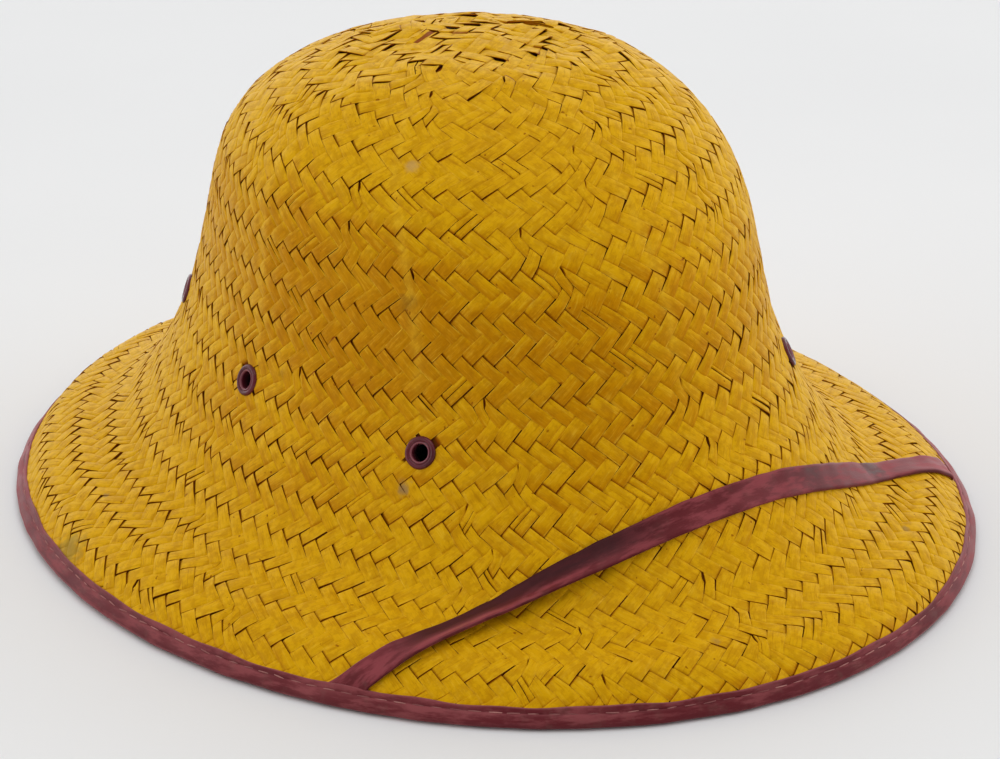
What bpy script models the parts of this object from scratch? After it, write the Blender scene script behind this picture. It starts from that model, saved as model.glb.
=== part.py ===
"""Woven straw sun helmet with a bound edge, a brim strap and six vent eyelets.

Lengths in the constants and tables are millimetres; the objects are in metres, +Z up.
The front of the hat faces -Y and the wearer's right is -X. An angle round the hat is
measured at the hat's axis parameter from the front, positive towards the wearer's left.
A level runs up the hat: 0 at the rim, then one for each row of the section table.
"""
import bmesh
import bpy
import numpy as np
from mathutils import Vector

MM = 0.001

# Driving dimensions
STRAW_WALL = 1.6
CLEARANCE = 0.3
TAPE_THICKNESS = 0.95
TAPE_FLAP = 4.5
TAPE_EDGE_BEVEL = 0.3
STRAP_WIDTH = 8.4
STRAP_THICKNESS = 1.3
STRAP_CLEARANCE = 0.6
STRAP_FULL_LEAN = 25.0
PANEL_DEPTH = 0.7

# Sections of the straw from the rim to the top: half width, length in front of the axis,
# length behind it, height at the sides, height at the front and back
SECTION_COLUMNS = ("half_width", "front", "back", "side_height", "end_height")
SECTIONS = {
    "rim": (134.9, 162.0, 162.0, 1.95, 1.5),
    "outer brim": (119.5, 154.3, 154.3, 14.4, 12.6),
    "middle brim": (98.5, 136.0, 136.0, 23.1, 18.9),
    "inner brim": (83.5, 116.5, 117.0, 46.2, 39.8),
    "head band": (74.9, 102.4, 105.5, 71.1, 66.1),
    "wall": (72.3, 91.8, 91.5, 98.6, 97.6),
    "shoulder": (65.2, 67.2, 74.0, 121.2, 124.8),
    "dome": (40.5, 35.0, 37.5, 138.1, 139.6),
    "top": (2.0, 2.0, 2.0, 142.3, 142.3),
}
TOP_LEVEL = len(SECTIONS) - 1
TOP_CAP_RISE = 0.1

# Faint ridges between the pressed panels of the crown: angles, and the levels they fade over
RIDGE_ANGLES = (-180.0, -127.0, -90.0, -53.0, 0.0, 53.0, 90.0, 127.0, 180.0)
RIDGE_FADE_LEVELS = (3.6, 4.6, 6.8, 7.6)
RIDGE_FADE = (0.0, 1.0, 1.0, 0.0)

# Vent eyelets: angle round the hat and level
EYELET_COLUMNS = ("angle", "level")
EYELETS = {
    "eyelet_front_right": (-54.0, 3.38),
    "eyelet_side_right": (-91.5, 3.41),
    "eyelet_rear_right": (-130.0, 3.60),
    "eyelet_front_left": (46.5, 3.50),
    "eyelet_side_left": (91.0, 3.42),
    "eyelet_rear_left": (130.0, 3.60),
}
EYELET_HOLE_RADIUS = 3.4
EYELET_HOLE_DEPTH = 6.0 * STRAW_WALL
EYELET_SIDES = 14

# One turned section for every eyelet: radius, and height above the straw's outer face
EYELET_SECTION = (
    (2.5, 1.05),
    (3.1, 1.6),
    (4.3, 1.5),
    (5.2, 0.95),
    (5.0, 0.6),
    (3.0, 0.6),
    (3.0, -2.4),
    (4.2, -2.4),
    (4.3, -2.8),
    (3.4, -3.2),
    (2.5, -2.8),
)

# The strap's centre line over the front brim: angle, level, and how far it leans back in degrees
STRAP_COLUMNS = ("angle", "level", "lean")
STRAP_ROUTE = {
    "right end": (-54.9, 0.31, 0.0),
    "right rise": (-51.2, 0.91, 7.0),
    "right curl": (-44.7, 1.64, 21.0),
    "mid curl": (-35.6, 2.25, 25.0),
    "curl fades": (-22.8, 2.67, 14.0),
    "front right": (-8.0, 2.92, 4.0),
    "front left": (7.0, 2.95, 0.0),
    "left slope": (21.0, 2.78, 0.0),
    "left brim": (36.5, 2.35, 0.0),
    "left drop": (49.5, 1.55, 0.0),
    "left end": (56.8, 0.35, 0.0),
}
STRAP_STEPS = 56
STRAP_DISH = 0.9

# The strap's ends are cut along the tape: slant of the cut, and the steps it fades over
STRAP_END_SLANT = 1.0
STRAP_END_STEPS = 4

# Half widths and half heights of the strap's section, as shares of its width and thickness
STRAP_SECTION = (
    (-0.50, 0.0),
    (-0.44, 0.5),
    (-0.20, 0.5),
    (0.20, 0.5),
    (0.44, 0.5),
    (0.50, 0.0),
    (0.44, -0.5),
    (0.20, -0.5),
    (-0.20, -0.5),
    (-0.44, -0.5),
)

# Directions round the outer fold of the tape, in degrees from straight out of the straw
FOLD_DIRECTIONS = (72.0, 45.0, 18.0, -10.0, -38.0, -68.0, -92.0)

# Levels searched for the inner edge of the tape, and the step that slopes are measured over
FLAP_SEARCH_TOP = 1.5
FLAP_SEARCH_STEPS = 151
SLOPE_STEP = 0.01

# How finely the straw is faceted, and the angle in degrees above which an edge stays sharp
SIDES = 64
SHARP_ANGLE = 40.0
ROWS_ABOVE_TAPE = 22
FIRST_LEVEL_ABOVE_TAPE = 0.5

# Finish of each material: colour, roughness, metallic
FINISHES = {
    "painted_straw": ((0.62, 0.34, 0.012), 0.55, 0.0),
    "binding_tape": ((0.20, 0.040, 0.055), 0.50, 0.0),
    "strap_band": ((0.17, 0.034, 0.048), 0.50, 0.0),
    "eyelet_paint": ((0.12, 0.018, 0.022), 0.35, 0.0),
}


def clear_scene():
    """Remove every object of the scene that the script starts in."""
    for item in list(bpy.data.objects):
        bpy.data.objects.remove(item, do_unlink=True)


def finish(name):
    """The Principled material of one finish."""
    colour, roughness, metallic = FINISHES[name]
    material = bpy.data.materials.new(name)
    material.use_nodes = True
    shader = material.node_tree.nodes["Principled BSDF"]
    shader.inputs["Base Color"].default_value = (*colour, 1.0)
    shader.inputs["Roughness"].default_value = roughness
    shader.inputs["Metallic"].default_value = metallic
    material.diffuse_color = (*colour, 1.0)
    return material


def place(name, vertices, faces, material):
    """Put a mesh with its points in millimetres into the scene as a named object."""
    mesh = bpy.data.meshes.new(name)
    mesh.from_pydata((np.asarray(vertices) * MM).tolist(), [], faces)
    mesh.materials.append(material)
    mesh.validate()
    working = bmesh.new()
    working.from_mesh(mesh)
    bmesh.ops.triangulate(working, faces=working.faces)
    bmesh.ops.recalc_face_normals(working, faces=working.faces)
    working.to_mesh(mesh)
    working.free()
    mesh.shade_smooth()
    mesh.set_sharp_from_angle(angle=np.radians(SHARP_ANGLE))
    item = bpy.data.objects.new(name, mesh)
    bpy.context.scene.collection.objects.link(item)
    return item


def grid_faces(rows, columns, closed_rows):
    """Quads of a grid whose columns close on themselves, and its rows too where closed_rows."""
    row_count = rows if closed_rows else rows - 1
    faces = []
    for row in range(row_count):
        above = (row + 1) % rows
        for column in range(columns):
            beside = (column + 1) % columns
            faces.append((
                row * columns + column,
                row * columns + beside,
                above * columns + beside,
                above * columns + column,
            ))
    return faces


def natural_spline(table, at):
    """Values at the row numbers `at` of a natural cubic spline through the rows of a table."""
    rows = np.asarray(list(table.values()), float)
    count = len(rows)
    system = np.eye(count)
    right_side = np.zeros_like(rows)
    for row in range(1, count - 1):
        system[row, row - 1:row + 2] = (1.0, 4.0, 1.0)
        right_side[row] = 6.0 * (rows[row + 1] - 2.0 * rows[row] + rows[row - 1])
    bend = np.linalg.solve(system, right_side)
    at = np.asarray(at, float)
    lower = np.clip(np.floor(at).astype(int), 0, count - 2)
    up = (at - lower)[..., None]
    down = 1.0 - up
    straight = down * rows[lower] + up * rows[lower + 1]
    curved = (down ** 3 - down) * bend[lower] + (up ** 3 - up) * bend[lower + 1]
    return straight + curved / 6.0


def panel_relief(level, angle):
    """How far the crown is pulled in: none on a ridge, most midway between two ridges."""
    ridges = np.radians(RIDGE_ANGLES)
    wrapped = np.clip(angle, ridges[0], ridges[-1])
    panel = np.clip(np.searchsorted(ridges, wrapped, side="right") - 1, 0, len(ridges) - 2)
    share = (wrapped - ridges[panel]) / (ridges[panel + 1] - ridges[panel])
    fade = np.interp(level, RIDGE_FADE_LEVELS, RIDGE_FADE)
    return PANEL_DEPTH * 4.0 * share * (1.0 - share) * fade


def straw_point(level, angle):
    """The straw's outer face: ellipse halves whose height swings between sides and ends."""
    level, angle = np.broadcast_arrays(np.asarray(level, float), np.asarray(angle, float))
    columns = np.moveaxis(natural_spline(SECTIONS, level), -1, 0)
    section = dict(zip(SECTION_COLUMNS, columns))
    sine = np.sin(angle)
    cosine = np.cos(angle)
    length = np.where(cosine > 0.0, section["front"], section["back"])
    relief = panel_relief(level, angle)
    lift = section["end_height"] - section["side_height"]
    return np.stack([
        (section["half_width"] - relief) * sine,
        -(length - relief) * cosine,
        section["side_height"] + lift * cosine ** 2,
    ], axis=-1)


def unit(vectors):
    return vectors / np.linalg.norm(vectors, axis=-1, keepdims=True)


def straw_normal(level, angle):
    """Outward normal of the straw's outer face, from its slopes along and around."""
    level = np.clip(level, SLOPE_STEP, TOP_LEVEL - SLOPE_STEP)
    upward = straw_point(level + SLOPE_STEP, angle) - straw_point(level - SLOPE_STEP, angle)
    around = straw_point(level, angle + SLOPE_STEP) - straw_point(level, angle - SLOPE_STEP)
    return unit(np.cross(around, upward))


def level_above_rim(angle, distance):
    """The level that lies a distance up the straw from the rim, at each angle."""
    levels = np.linspace(0.0, FLAP_SEARCH_TOP, FLAP_SEARCH_STEPS)
    found = []
    for one in angle:
        walk = straw_point(levels, np.full_like(levels, one))
        steps = np.linalg.norm(np.diff(walk, axis=0), axis=-1)
        found.append(np.interp(distance, np.concatenate([[0.0], np.cumsum(steps)]), levels))
    return np.array(found)


def angles_round():
    return np.linspace(-np.pi, np.pi, SIDES, endpoint=False)


def add_eyelet_holes(shell):
    """Cut a round hole through the straw behind every eyelet."""
    for name in EYELETS:
        point, normal = eyelet_seat(name)
        mesh = bpy.data.meshes.new(name + "_cutter")
        working = bmesh.new()
        bmesh.ops.create_cone(
            working,
            cap_ends=True,
            segments=EYELET_SIDES,
            radius1=EYELET_HOLE_RADIUS * MM,
            radius2=EYELET_HOLE_RADIUS * MM,
            depth=EYELET_HOLE_DEPTH * MM,
        )
        working.to_mesh(mesh)
        working.free()
        cutter = bpy.data.objects.new(name + "_cutter", mesh)
        bpy.context.scene.collection.objects.link(cutter)
        cutter.location = point * MM
        cutter.rotation_euler = normal.to_track_quat("Z", "Y").to_euler()
        cutter.hide_render = True
        cutter.display_type = "WIRE"
        hole = shell.modifiers.new(name + "_hole", "BOOLEAN")
        hole.operation = "DIFFERENCE"
        hole.solver = "EXACT"
        hole.object = cutter


def make_straw_shell():
    """Crown and brim in one piece: the outer face as rings of points, then a solid wall."""
    angles = angles_round()
    levels = [np.zeros(SIDES), level_above_rim(angles, TAPE_FLAP)]
    for level in np.linspace(FIRST_LEVEL_ABOVE_TAPE, TOP_LEVEL, ROWS_ABOVE_TAPE):
        levels.append(np.full(SIDES, level))
    rings = straw_point(np.array(levels), angles[None, :])
    top = rings[-1].mean(axis=0) + np.array([0.0, 0.0, TOP_CAP_RISE])
    vertices = np.concatenate([rings.reshape(-1, 3), top[None, :]])
    faces = grid_faces(len(levels), SIDES, closed_rows=False)
    last_ring = (len(levels) - 1) * SIDES
    for column in range(SIDES):
        faces.append((last_ring + column, last_ring + (column + 1) % SIDES, len(vertices) - 1))
    shell = place("straw_shell", vertices, faces, finish("painted_straw"))
    wall = shell.modifiers.new("wall", "SOLIDIFY")
    wall.thickness = STRAW_WALL * MM
    wall.offset = -1.0
    wall.use_even_offset = True
    add_eyelet_holes(shell)
    return shell


def make_edge_binding():
    """Tape folded over the rim: up the outer face, round the edge and back under, flat below."""
    angles = angles_round()
    rim = straw_point(0.0, angles)
    flap_level = level_above_rim(angles, TAPE_FLAP)
    flap = straw_point(flap_level, angles)
    normal = straw_normal(0.5 * flap_level, angles)
    outward = unit(rim - flap)
    flap_normal = unit(normal - outward * np.sum(normal * outward, axis=-1, keepdims=True))
    outer_face = CLEARANCE + TAPE_THICKNESS
    fold_centre = rim - flap_normal * (0.5 * STRAW_WALL)
    fold_height = 0.5 * STRAW_WALL + outer_face
    section = [
        flap + flap_normal * CLEARANCE,
        flap + flap_normal * outer_face + outward * TAPE_EDGE_BEVEL,
    ]
    for direction in np.radians(FOLD_DIRECTIONS):
        section.append(
            fold_centre
            + flap_normal * (fold_height * np.sin(direction))
            + outward * (outer_face * np.cos(direction))
        )
    section.append(flap - flap_normal * (STRAW_WALL + outer_face))
    section.append(flap - flap_normal * (STRAW_WALL + CLEARANCE))
    section.append(rim - flap_normal * (STRAW_WALL + CLEARANCE) + outward * CLEARANCE)
    section.append(rim + flap_normal * CLEARANCE + outward * CLEARANCE)
    rings = np.array(section)
    rings[..., 2] = np.maximum(rings[..., 2], 0.0)
    faces = grid_faces(len(section), SIDES, closed_rows=True)
    return place("edge_binding", rings.reshape(-1, 3), faces, finish("binding_tape"))


def make_brim_strap():
    """Flat folded band along its route, dished and leaning back where its lower edge lifts."""
    rows = np.linspace(0.0, len(STRAP_ROUTE) - 1, STRAP_STEPS)
    route = dict(zip(STRAP_COLUMNS, natural_spline(STRAP_ROUTE, rows).T))
    angle = np.radians(route["angle"])
    level = route["level"]
    lean = np.radians(route["lean"])
    on_straw = straw_point(level, angle)
    normal = straw_normal(level, angle)
    forward = unit(np.gradient(on_straw, axis=0))
    up_brim = unit(np.cross(normal, forward))
    half_width = 0.5 * STRAP_WIDTH
    lift = STRAP_CLEARANCE + 0.5 * STRAP_THICKNESS + half_width * np.sin(lean)
    centre = on_straw + normal * lift[:, None]
    across = up_brim * np.cos(lean)[:, None] - normal * np.sin(lean)[:, None]
    face = unit(np.cross(forward, across))
    dish = STRAP_DISH * np.sin(lean) / np.sin(np.radians(STRAP_FULL_LEAN))
    steps = np.arange(STRAP_STEPS)
    from_right = np.clip(1.0 - steps / STRAP_END_STEPS, 0.0, 1.0)
    slant = STRAP_END_SLANT * (from_right[::-1] - from_right)
    section = []
    for width_share, height_share in STRAP_SECTION:
        width = width_share * STRAP_WIDTH
        sag = dish * (4.0 * width_share ** 2 - 1.0) * 0.5
        height = height_share * STRAP_THICKNESS + sag
        shift = (slant * width)[:, None]
        section.append(centre + across * width + face * height[:, None] + forward * shift)
    rings = np.array(section).transpose(1, 0, 2)
    sides = len(STRAP_SECTION)
    faces = grid_faces(STRAP_STEPS, sides, closed_rows=False)
    faces.append(tuple(range(sides)))
    faces.append(tuple(range((STRAP_STEPS - 1) * sides, STRAP_STEPS * sides)))
    return place("brim_strap", rings.reshape(-1, 3), faces, finish("strap_band"))


def eyelet_seat(name):
    """Where an eyelet's axis meets the straw's outer face, and the axis itself."""
    seat = dict(zip(EYELET_COLUMNS, EYELETS[name]))
    place_on_straw = (seat["level"], np.radians(seat["angle"]))
    return Vector(straw_point(*place_on_straw)), Vector(straw_normal(*place_on_straw))


def make_eyelets():
    """Turned eyelets: a rounded flange outside, a barrel through the straw, a rolled collar inside."""
    material = finish("eyelet_paint")
    turns = np.linspace(0.0, 2.0 * np.pi, EYELET_SIDES, endpoint=False)
    section = np.array(EYELET_SECTION)
    rings = np.stack([
        section[:, :1] * np.cos(turns),
        section[:, :1] * np.sin(turns),
        np.broadcast_to(section[:, 1:], (len(section), EYELET_SIDES)),
    ], axis=-1)
    faces = grid_faces(len(section), EYELET_SIDES, closed_rows=True)
    for name in EYELETS:
        point, normal = eyelet_seat(name)
        eyelet = place(name, rings.reshape(-1, 3), faces, material)
        eyelet.location = point * MM
        eyelet.rotation_euler = normal.to_track_quat("Z", "Y").to_euler()


def main():
    clear_scene()
    make_straw_shell()
    make_edge_binding()
    make_brim_strap()
    make_eyelets()


main()
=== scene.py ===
"""Woven straw sun helmet: painted twill weave, folded tape binding, brim strap and vent eyelets.

Lengths in the tables are millimetres, and the frame is in metres with +Z up. The front of the
hat faces -Y. A level runs up the hat from the rim (0) to the top (8), and an angle runs round it
from the front, positive towards +X. The weave is laid out on a lattice: columns round the hat
and bands down from the top. A float is the stretch of a strip that lies on top of the others,
and each band is one row of them: they fall to the right in even bands and rise in odd ones.
"""
import bpy
import numpy as np
from mathutils import Matrix, Vector


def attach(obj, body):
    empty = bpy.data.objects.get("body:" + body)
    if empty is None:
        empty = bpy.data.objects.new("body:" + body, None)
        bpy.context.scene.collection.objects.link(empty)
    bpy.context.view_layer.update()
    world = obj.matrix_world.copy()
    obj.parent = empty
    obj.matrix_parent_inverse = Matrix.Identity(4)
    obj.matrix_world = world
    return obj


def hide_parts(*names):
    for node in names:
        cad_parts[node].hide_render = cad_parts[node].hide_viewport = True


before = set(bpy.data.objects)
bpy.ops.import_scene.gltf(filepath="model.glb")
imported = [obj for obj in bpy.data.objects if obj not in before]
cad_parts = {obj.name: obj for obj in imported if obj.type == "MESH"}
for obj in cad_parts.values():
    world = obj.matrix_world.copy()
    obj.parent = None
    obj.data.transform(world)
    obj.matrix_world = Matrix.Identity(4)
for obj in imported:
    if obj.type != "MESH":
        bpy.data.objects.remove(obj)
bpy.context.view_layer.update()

MM = 0.001
FULL_TURN = 2.0 * np.pi
# Radians in one wave of a ripple, near enough
WAVE = 6.28
# Seeds of the random draws
WEAVE_SEED = 5
BORDER_SEED = 11
TAPE_SEED = 23
STITCH_SEED = 31
STRAP_SEED = 41

# The hat's outer face: half width, length in front of the axis, length behind it, height at the
# sides, height at the ends, one row for each level
SECTIONS = {
    "rim": (134.9, 162.0, 162.0, 1.95, 1.5),
    "outer brim": (119.5, 154.3, 154.3, 14.4, 12.6),
    "middle brim": (98.5, 136.0, 136.0, 23.1, 18.9),
    "inner brim": (83.5, 116.5, 117.0, 46.2, 39.8),
    "head band": (74.9, 102.4, 105.5, 71.1, 66.1),
    "wall": (72.3, 91.8, 91.5, 98.6, 97.6),
    "shoulder": (65.2, 67.2, 74.0, 121.2, 124.8),
    "dome": (40.5, 35.0, 37.5, 138.1, 139.6),
    "top": (2.0, 2.0, 2.0, 142.3, 142.3),
}
TOP_LEVEL = len(SECTIONS) - 1
STRAW_WALL = 1.6

# Upright ridges of the crown, the hollow of the panels between them, and a crimped line that
# lies beside each ridge: how far from it and half how wide, in degrees
RIDGE_ANGLES = (-180.0, -127.0, -90.0, -53.0, 0.0, 53.0, 90.0, 127.0, 180.0)
RIDGE_FADE_LEVELS = (3.6, 4.6, 6.8, 7.6)
RIDGE_FADE = (0.0, 1.0, 1.0, 0.0)
PANEL_DEPTH = 0.7
CREASE_OFFSET = 1.4
CREASE_HALF_WIDTH = 1.6

# Dents in the top of the crown: height, the levels where they fade in, and each wave's length
# and direction
TOP_DENT = 0.32
TOP_DENT_LEVELS = (6.2, 7.2)
TOP_WAVES = ((24.0, 0.4), (31.0, 1.7), (19.0, 2.6), (44.0, 4.0))

# Vent eyelets: angle and level
EYELETS = {
    "eyelet_front_right": (-54.0, 3.38),
    "eyelet_side_right": (-91.5, 3.41),
    "eyelet_rear_right": (-130.0, 3.60),
    "eyelet_front_left": (46.5, 3.50),
    "eyelet_side_left": (91.0, 3.42),
    "eyelet_rear_left": (130.0, 3.60),
}
# The weave leaves this much room round an eyelet's axis, as far along it as the second value
EYELET_ROOM = 3.2
EYELET_DEPTH = 12.0
# Turned section of an eyelet: radius and height above the straw's outer face, from the lip
# outwards and down, through the hole, and round the flange inside the hat
EYELET_SECTION = (
    (2.5, 0.7), (2.55, 1.15), (2.68, 1.40), (2.9, 1.48), (3.08, 1.36), (3.25, 1.24), (3.45, 1.40),
    (3.8, 1.62), (4.2, 1.54), (4.52, 1.28), (4.72, 0.88), (4.7, 0.66), (4.5, 0.58), (3.1, 0.58),
    (3.0, 0.3), (3.0, -2.2),
    (3.2, -2.35), (4.1, -2.4), (4.4, -2.6), (4.3, -2.9), (3.7, -3.15), (3.0, -3.1), (2.6, -2.85),
    (2.45, -2.4),
)
EYELET_SIDES = 48

# The weave's square start at the top: its bands, their height, its cells along a side, its turn
# in degrees, its place off the hat's axis and the radius where that has faded out
START_BANDS = 4
START_HEIGHT = 7.0
START_CELLS = 7
START_TURN = -15.0
START_PLACE = (7.0, 4.0)
START_FADE = 48.0
# How many floats a band has from that band on; the tips of a band reach a quarter band up
FLOAT_COUNTS = {
    4: 32, 5: 39, 6: 46, 7: 52, 8: 57, 9: 62, 10: 67, 12: 76, 14: 83, 16: 90, 22: 98, 25: 104,
    27: 110, 29: 116, 31: 124, 33: 134, 35: 144, 36: 152,
}
BAND_COUNT = 38
ZIGZAG = 0.25

# Plates of the painted weave outside and of the bare weave inside: stations along a float,
# section across it as place and height, and how high its middle and its sunk ends lie
OUTER_PLATE = {
    "side": 1,
    "stations": (-1.0, -0.83, -0.70, 0.0, 0.70, 0.83, 1.0),
    "section": (
        (-0.99, -0.46), (-1.0, -0.15), (-0.90, -0.06), (-0.35, 0.05),
        (0.35, 0.05), (0.90, -0.06), (1.0, -0.15), (0.99, -0.46),
    ),
    "high": 0.68,
    "low": 0.02,
}
INNER_PLATE = {
    "side": -1,
    "stations": (-1.0, -0.5, 0.5, 1.0),
    "section": ((-0.98, -0.3), (-0.96, 0.0), (0.96, 0.0), (0.98, -0.3)),
    "high": 0.74,
    "low": 0.22,
}
# Section points lower than this lie under the neighbours
UNDERSIDE = -0.2
# A plate runs this many half runs from its float's centre, so its ends lie under the neighbours
PLATE_REACH = 1.22
# Half length and half width of a float, for the grain
FLOAT_SIZE = (4.2, 2.1)
# Pieces of the painted weave: first band, and the band after the last
PAINTED_PIECES = {
    "crown_weave": (0, 22), "inner_brim_weave": (22, 31), "outer_brim_weave": (31, 38),
}
# Share of the strips that are two narrow ones, and of the other floats that are; where they
# part, from -1 to 1 across; and how much of their width each of the two fills
SPLIT_STRIPS = 0.035
SPLIT_FLOATS = 0.015
SPLIT_RANGE = (-0.35, 0.55)
SPLIT_FILLS = (0.94, 0.92)
# How far the border of two strips wanders, as a share of half a float's width
BORDER_WANDER = 0.13

# The seams open over the falling floats on one half of the hat and over the rising ones on the
# other; this is the angle in degrees where the halves meet. The pairs are sines of the angle
# from there, between which the one seam closes and the other opens up to its strength.
LEAN_ANGLE = -25.0
FALLING_FADE = (-0.1, 0.6)
RISING_FADE = (-0.35, 0.45)
RISING_STRENGTH = 0.85
# At an open seam: how much of half its width a float's upper side is drawn in, how far its
# corner stands up over the float that dives under it, and how dark the painted shade on its
# upper side is
SLIT = 0.12
CORNER_LIFT = 0.24
SEAM_SHADE_STROKE = 0.6
# Where plates dive, in half runs: early at an open seam, late under the neighbours; and how
# much of the early dip an upper end has at a closed seam and a lower end at an open one
EARLY_DIP = (0.90, 1.05)
LATE_DIP = (1.0, PLATE_REACH)
UPPER_CLOSED = 0.15
LOWER_OPEN = 0.65
# How uneven the floats are down the hat, how much more at the top, the bands where that fades
# out, and the height of each kind
UNEVEN = 1.45
UNEVEN_TOP = 2.75
UNEVEN_TOP_BANDS = (2.0, 10.0)
LIFT = 0.035
ROLL = 0.045
PITCH = 0.035
CURL = 0.035
SKEW = 0.035
BOW = 0.09

# Section of the folded tape: distance up from the rim and height above the straw's outer face,
# then directions round the fold in degrees, then the part under the brim
TAPE_OUTER = (
    (3.6, 0.5), (4.35, 0.5), (4.6, 0.66), (4.62, 0.92), (4.42, 1.12), (4.0, 1.18), (3.3, 1.16),
    (2.95, 1.04), (2.75, 0.96), (2.55, 1.06), (2.2, 1.26), (1.6, 1.38), (0.8, 1.42),
)
TAPE_FOLD = (78.0, 58.0, 38.0, 16.0, -6.0, -28.0, -50.0, -70.0)
TAPE_FOLD_SIZE = (2.22, 1.42)
TAPE_UNDER = (
    (0.6, -2.95), (1.6, -2.95), (2.6, -2.8), (3.2, -2.85), (3.9, -2.9), (4.5, -2.8), (4.6, -2.3),
    (4.0, -2.0), (1.0, -2.0), (-0.3, -1.4), (-0.3, 0.0), (1.0, 0.5),
)
TAPE_REACH = 4.5
TAPE_RINGS = 480
# Its upper edge, as a distance up from the rim, is wavy and lifts a little; the rest is puffed
TAPE_EDGE = (2.4, 4.4)
TAPE_EDGE_WAVE = 0.22
TAPE_EDGE_LIFT = 0.05
TAPE_FACE_PUFF = 0.10
TAPE_FOLD_PUFF = 0.08
# The tape is pressed flat on the floor: lowest height, and how softly it is pressed
FLOOR_GAP = 0.03
FLOOR_SOFTNESS = 0.35
# Stitches: distance up from the rim, spacing, and place, radius and height along one stitch
STITCH_LINE = 2.75
STITCH_SPACING = 5.3
STITCH_STEPS = (
    (-1.0, 0.05, -0.22), (-0.82, 0.15, -0.06), (0.0, 0.19, 0.05), (0.82, 0.15, -0.06),
    (1.0, 0.05, -0.22),
)
STITCH_SIDES = 6
# Each stitch is drawn between these: half its length, how far it is sunk, and how far it strays
# along the groove (as a share of the spacing) and turns across it
STITCH_HALF_LENGTHS = (1.75, 2.15)
STITCH_HEIGHT = 1.03
STITCH_SINKS = (-0.14, 0.03)
STITCH_STRAY = 0.06
STITCH_TURN = 0.10

# Strap over the front brim: angle, level, and how far it leans back in degrees
STRAP_ROUTE = {
    "right tuck": (-56.4, 0.09, 0.0),
    "right end": (-54.7, 0.31, 0.0),
    "right rise": (-51.2, 0.91, 7.0),
    "right curl": (-44.7, 1.64, 21.0),
    "mid curl": (-35.6, 2.25, 25.0),
    "curl fades": (-22.8, 2.67, 14.0),
    "front right": (-8.0, 2.92, 4.0),
    "front left": (7.0, 2.95, 0.0),
    "left slope": (21.0, 2.78, 0.0),
    "left brim": (36.5, 2.35, 0.0),
    "left drop": (49.5, 1.55, 0.0),
    "left end": (56.8, 0.35, 0.0),
    "left tuck": (57.6, 0.19, 0.0),
}
STRAP_WIDTH = 8.4
STRAP_THICKNESS = 1.3
STRAP_CLEARANCE = 0.75
STRAP_TUCK = 11.0
STRAP_SLANTS = (-1.07, 0.87)
STRAP_STATIONS = 300
# Deepest lean in degrees, and how deep the strap is dished there
STRAP_LEAN = 25.0
STRAP_DISH = 0.9
# Section of the strap: place across it as a share of its width, and height as one of its
# thickness; the upper face here, and its two edges and flat back below
STRAP_SECTION = (
    (-0.5, 0.0), (-0.485, 0.28), (-0.45, 0.46), (-0.38, 0.5), (-0.25, 0.44), (-0.1, 0.42),
    (0.1, 0.42), (0.25, 0.44), (0.38, 0.5), (0.45, 0.46), (0.485, 0.28), (0.5, 0.0),
    (0.485, -0.28), (0.45, -0.46), (0.38, -0.5), (0.25, -0.5), (0.1, -0.5),
    (-0.1, -0.5), (-0.25, -0.5), (-0.38, -0.5), (-0.45, -0.46), (-0.485, -0.28),
)
# Wavelengths of its ripples, and how much they widen and lift it
STRAP_RIPPLES = (9.0, 13.0, 21.0, 34.0)
STRAP_RIPPLE_WIDTH = 0.07
STRAP_RIPPLE_HEIGHT = 0.04

# Colours of the paint: deep on the crown's walls and paler where it faces up, which is painted
# light as well as its own uneven tone; a painted sheen towards the outline; its streaks; and the
# brown of its seams and specks, which also carries painted shade
DEEP_AMBER = (0.56, 0.232, 0.0005)
FADED_AND_LIT_AMBER = (0.725, 0.386, 0.0030)
# Painted sheen, laid over the paint towards its outline
SHEEN_YELLOW = (0.82, 0.55, 0.055)
PALE_STREAK = (0.84, 0.50, 0.028)
DARK_STREAK = (0.36, 0.125, 0.0008)
SEAM_BROWN = (0.23, 0.042, 0.0005)
# Colours of the straw inside the hat, and of what shows deep in the seams, with a near-black
# painted shade in the top slots
PALE_STRAW = (0.60, 0.43, 0.20)
BROWN_STRAW = (0.47, 0.31, 0.13)
STRAW_FIBRE = (0.30, 0.17, 0.06)
STRAW_STAIN = (0.42, 0.22, 0.05)
STRAW_SEAM = (0.12, 0.06, 0.02)
CORE_BROWN = (0.20, 0.050, 0.001)
CORE_SHADE = (0.14, 0.032, 0.001)
CORE_SLOT_SHADE = (0.045, 0.015, 0.001)
# Colours of the two tapes: main, faded (which also takes the painted light where a tape faces
# up), edge (pale on the binding, a dark line on the strap that is partly painted shadow), and how
# dusty
TAPE_TONES = ((0.125, 0.015, 0.020), (0.26, 0.060, 0.066), (0.31, 0.10, 0.105), 0.10)
STRAP_TONES = ((0.115, 0.012, 0.016), (0.27, 0.052, 0.062), (0.045, 0.007, 0.009), 0.06)
TAPE_DUST = (0.22, 0.17, 0.13)
# Painted sheen of the tapes towards their outline
TAPE_SHEEN = (0.47, 0.14, 0.15)
# Painted shade on the upper half of the strap where it curls
TAPE_PAINTED_SHADE = (0.035, 0.006, 0.008)
THREAD_DARK = (0.19, 0.045, 0.05)
THREAD_FADED = (0.52, 0.24, 0.21)
EYELET_DARK = (0.070, 0.006, 0.012)
EYELET_MAROON = (0.125, 0.014, 0.024)
# Worn pink of the rolled lip, also a painted highlight
EYELET_LIP_WEAR_AND_HIGHLIGHT = (0.34, 0.11, 0.13)
EYELET_DUST = (0.20, 0.14, 0.10)
# Near-black painted shade down the eyelet's hole and inside the hat
EYELET_INSIDE_SHADE = (0.016, 0.018, 0.017)
FLOOR_LIGHT = (0.855, 0.86, 0.865)
FLOOR_SHADE = (0.84, 0.845, 0.85)

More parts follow.
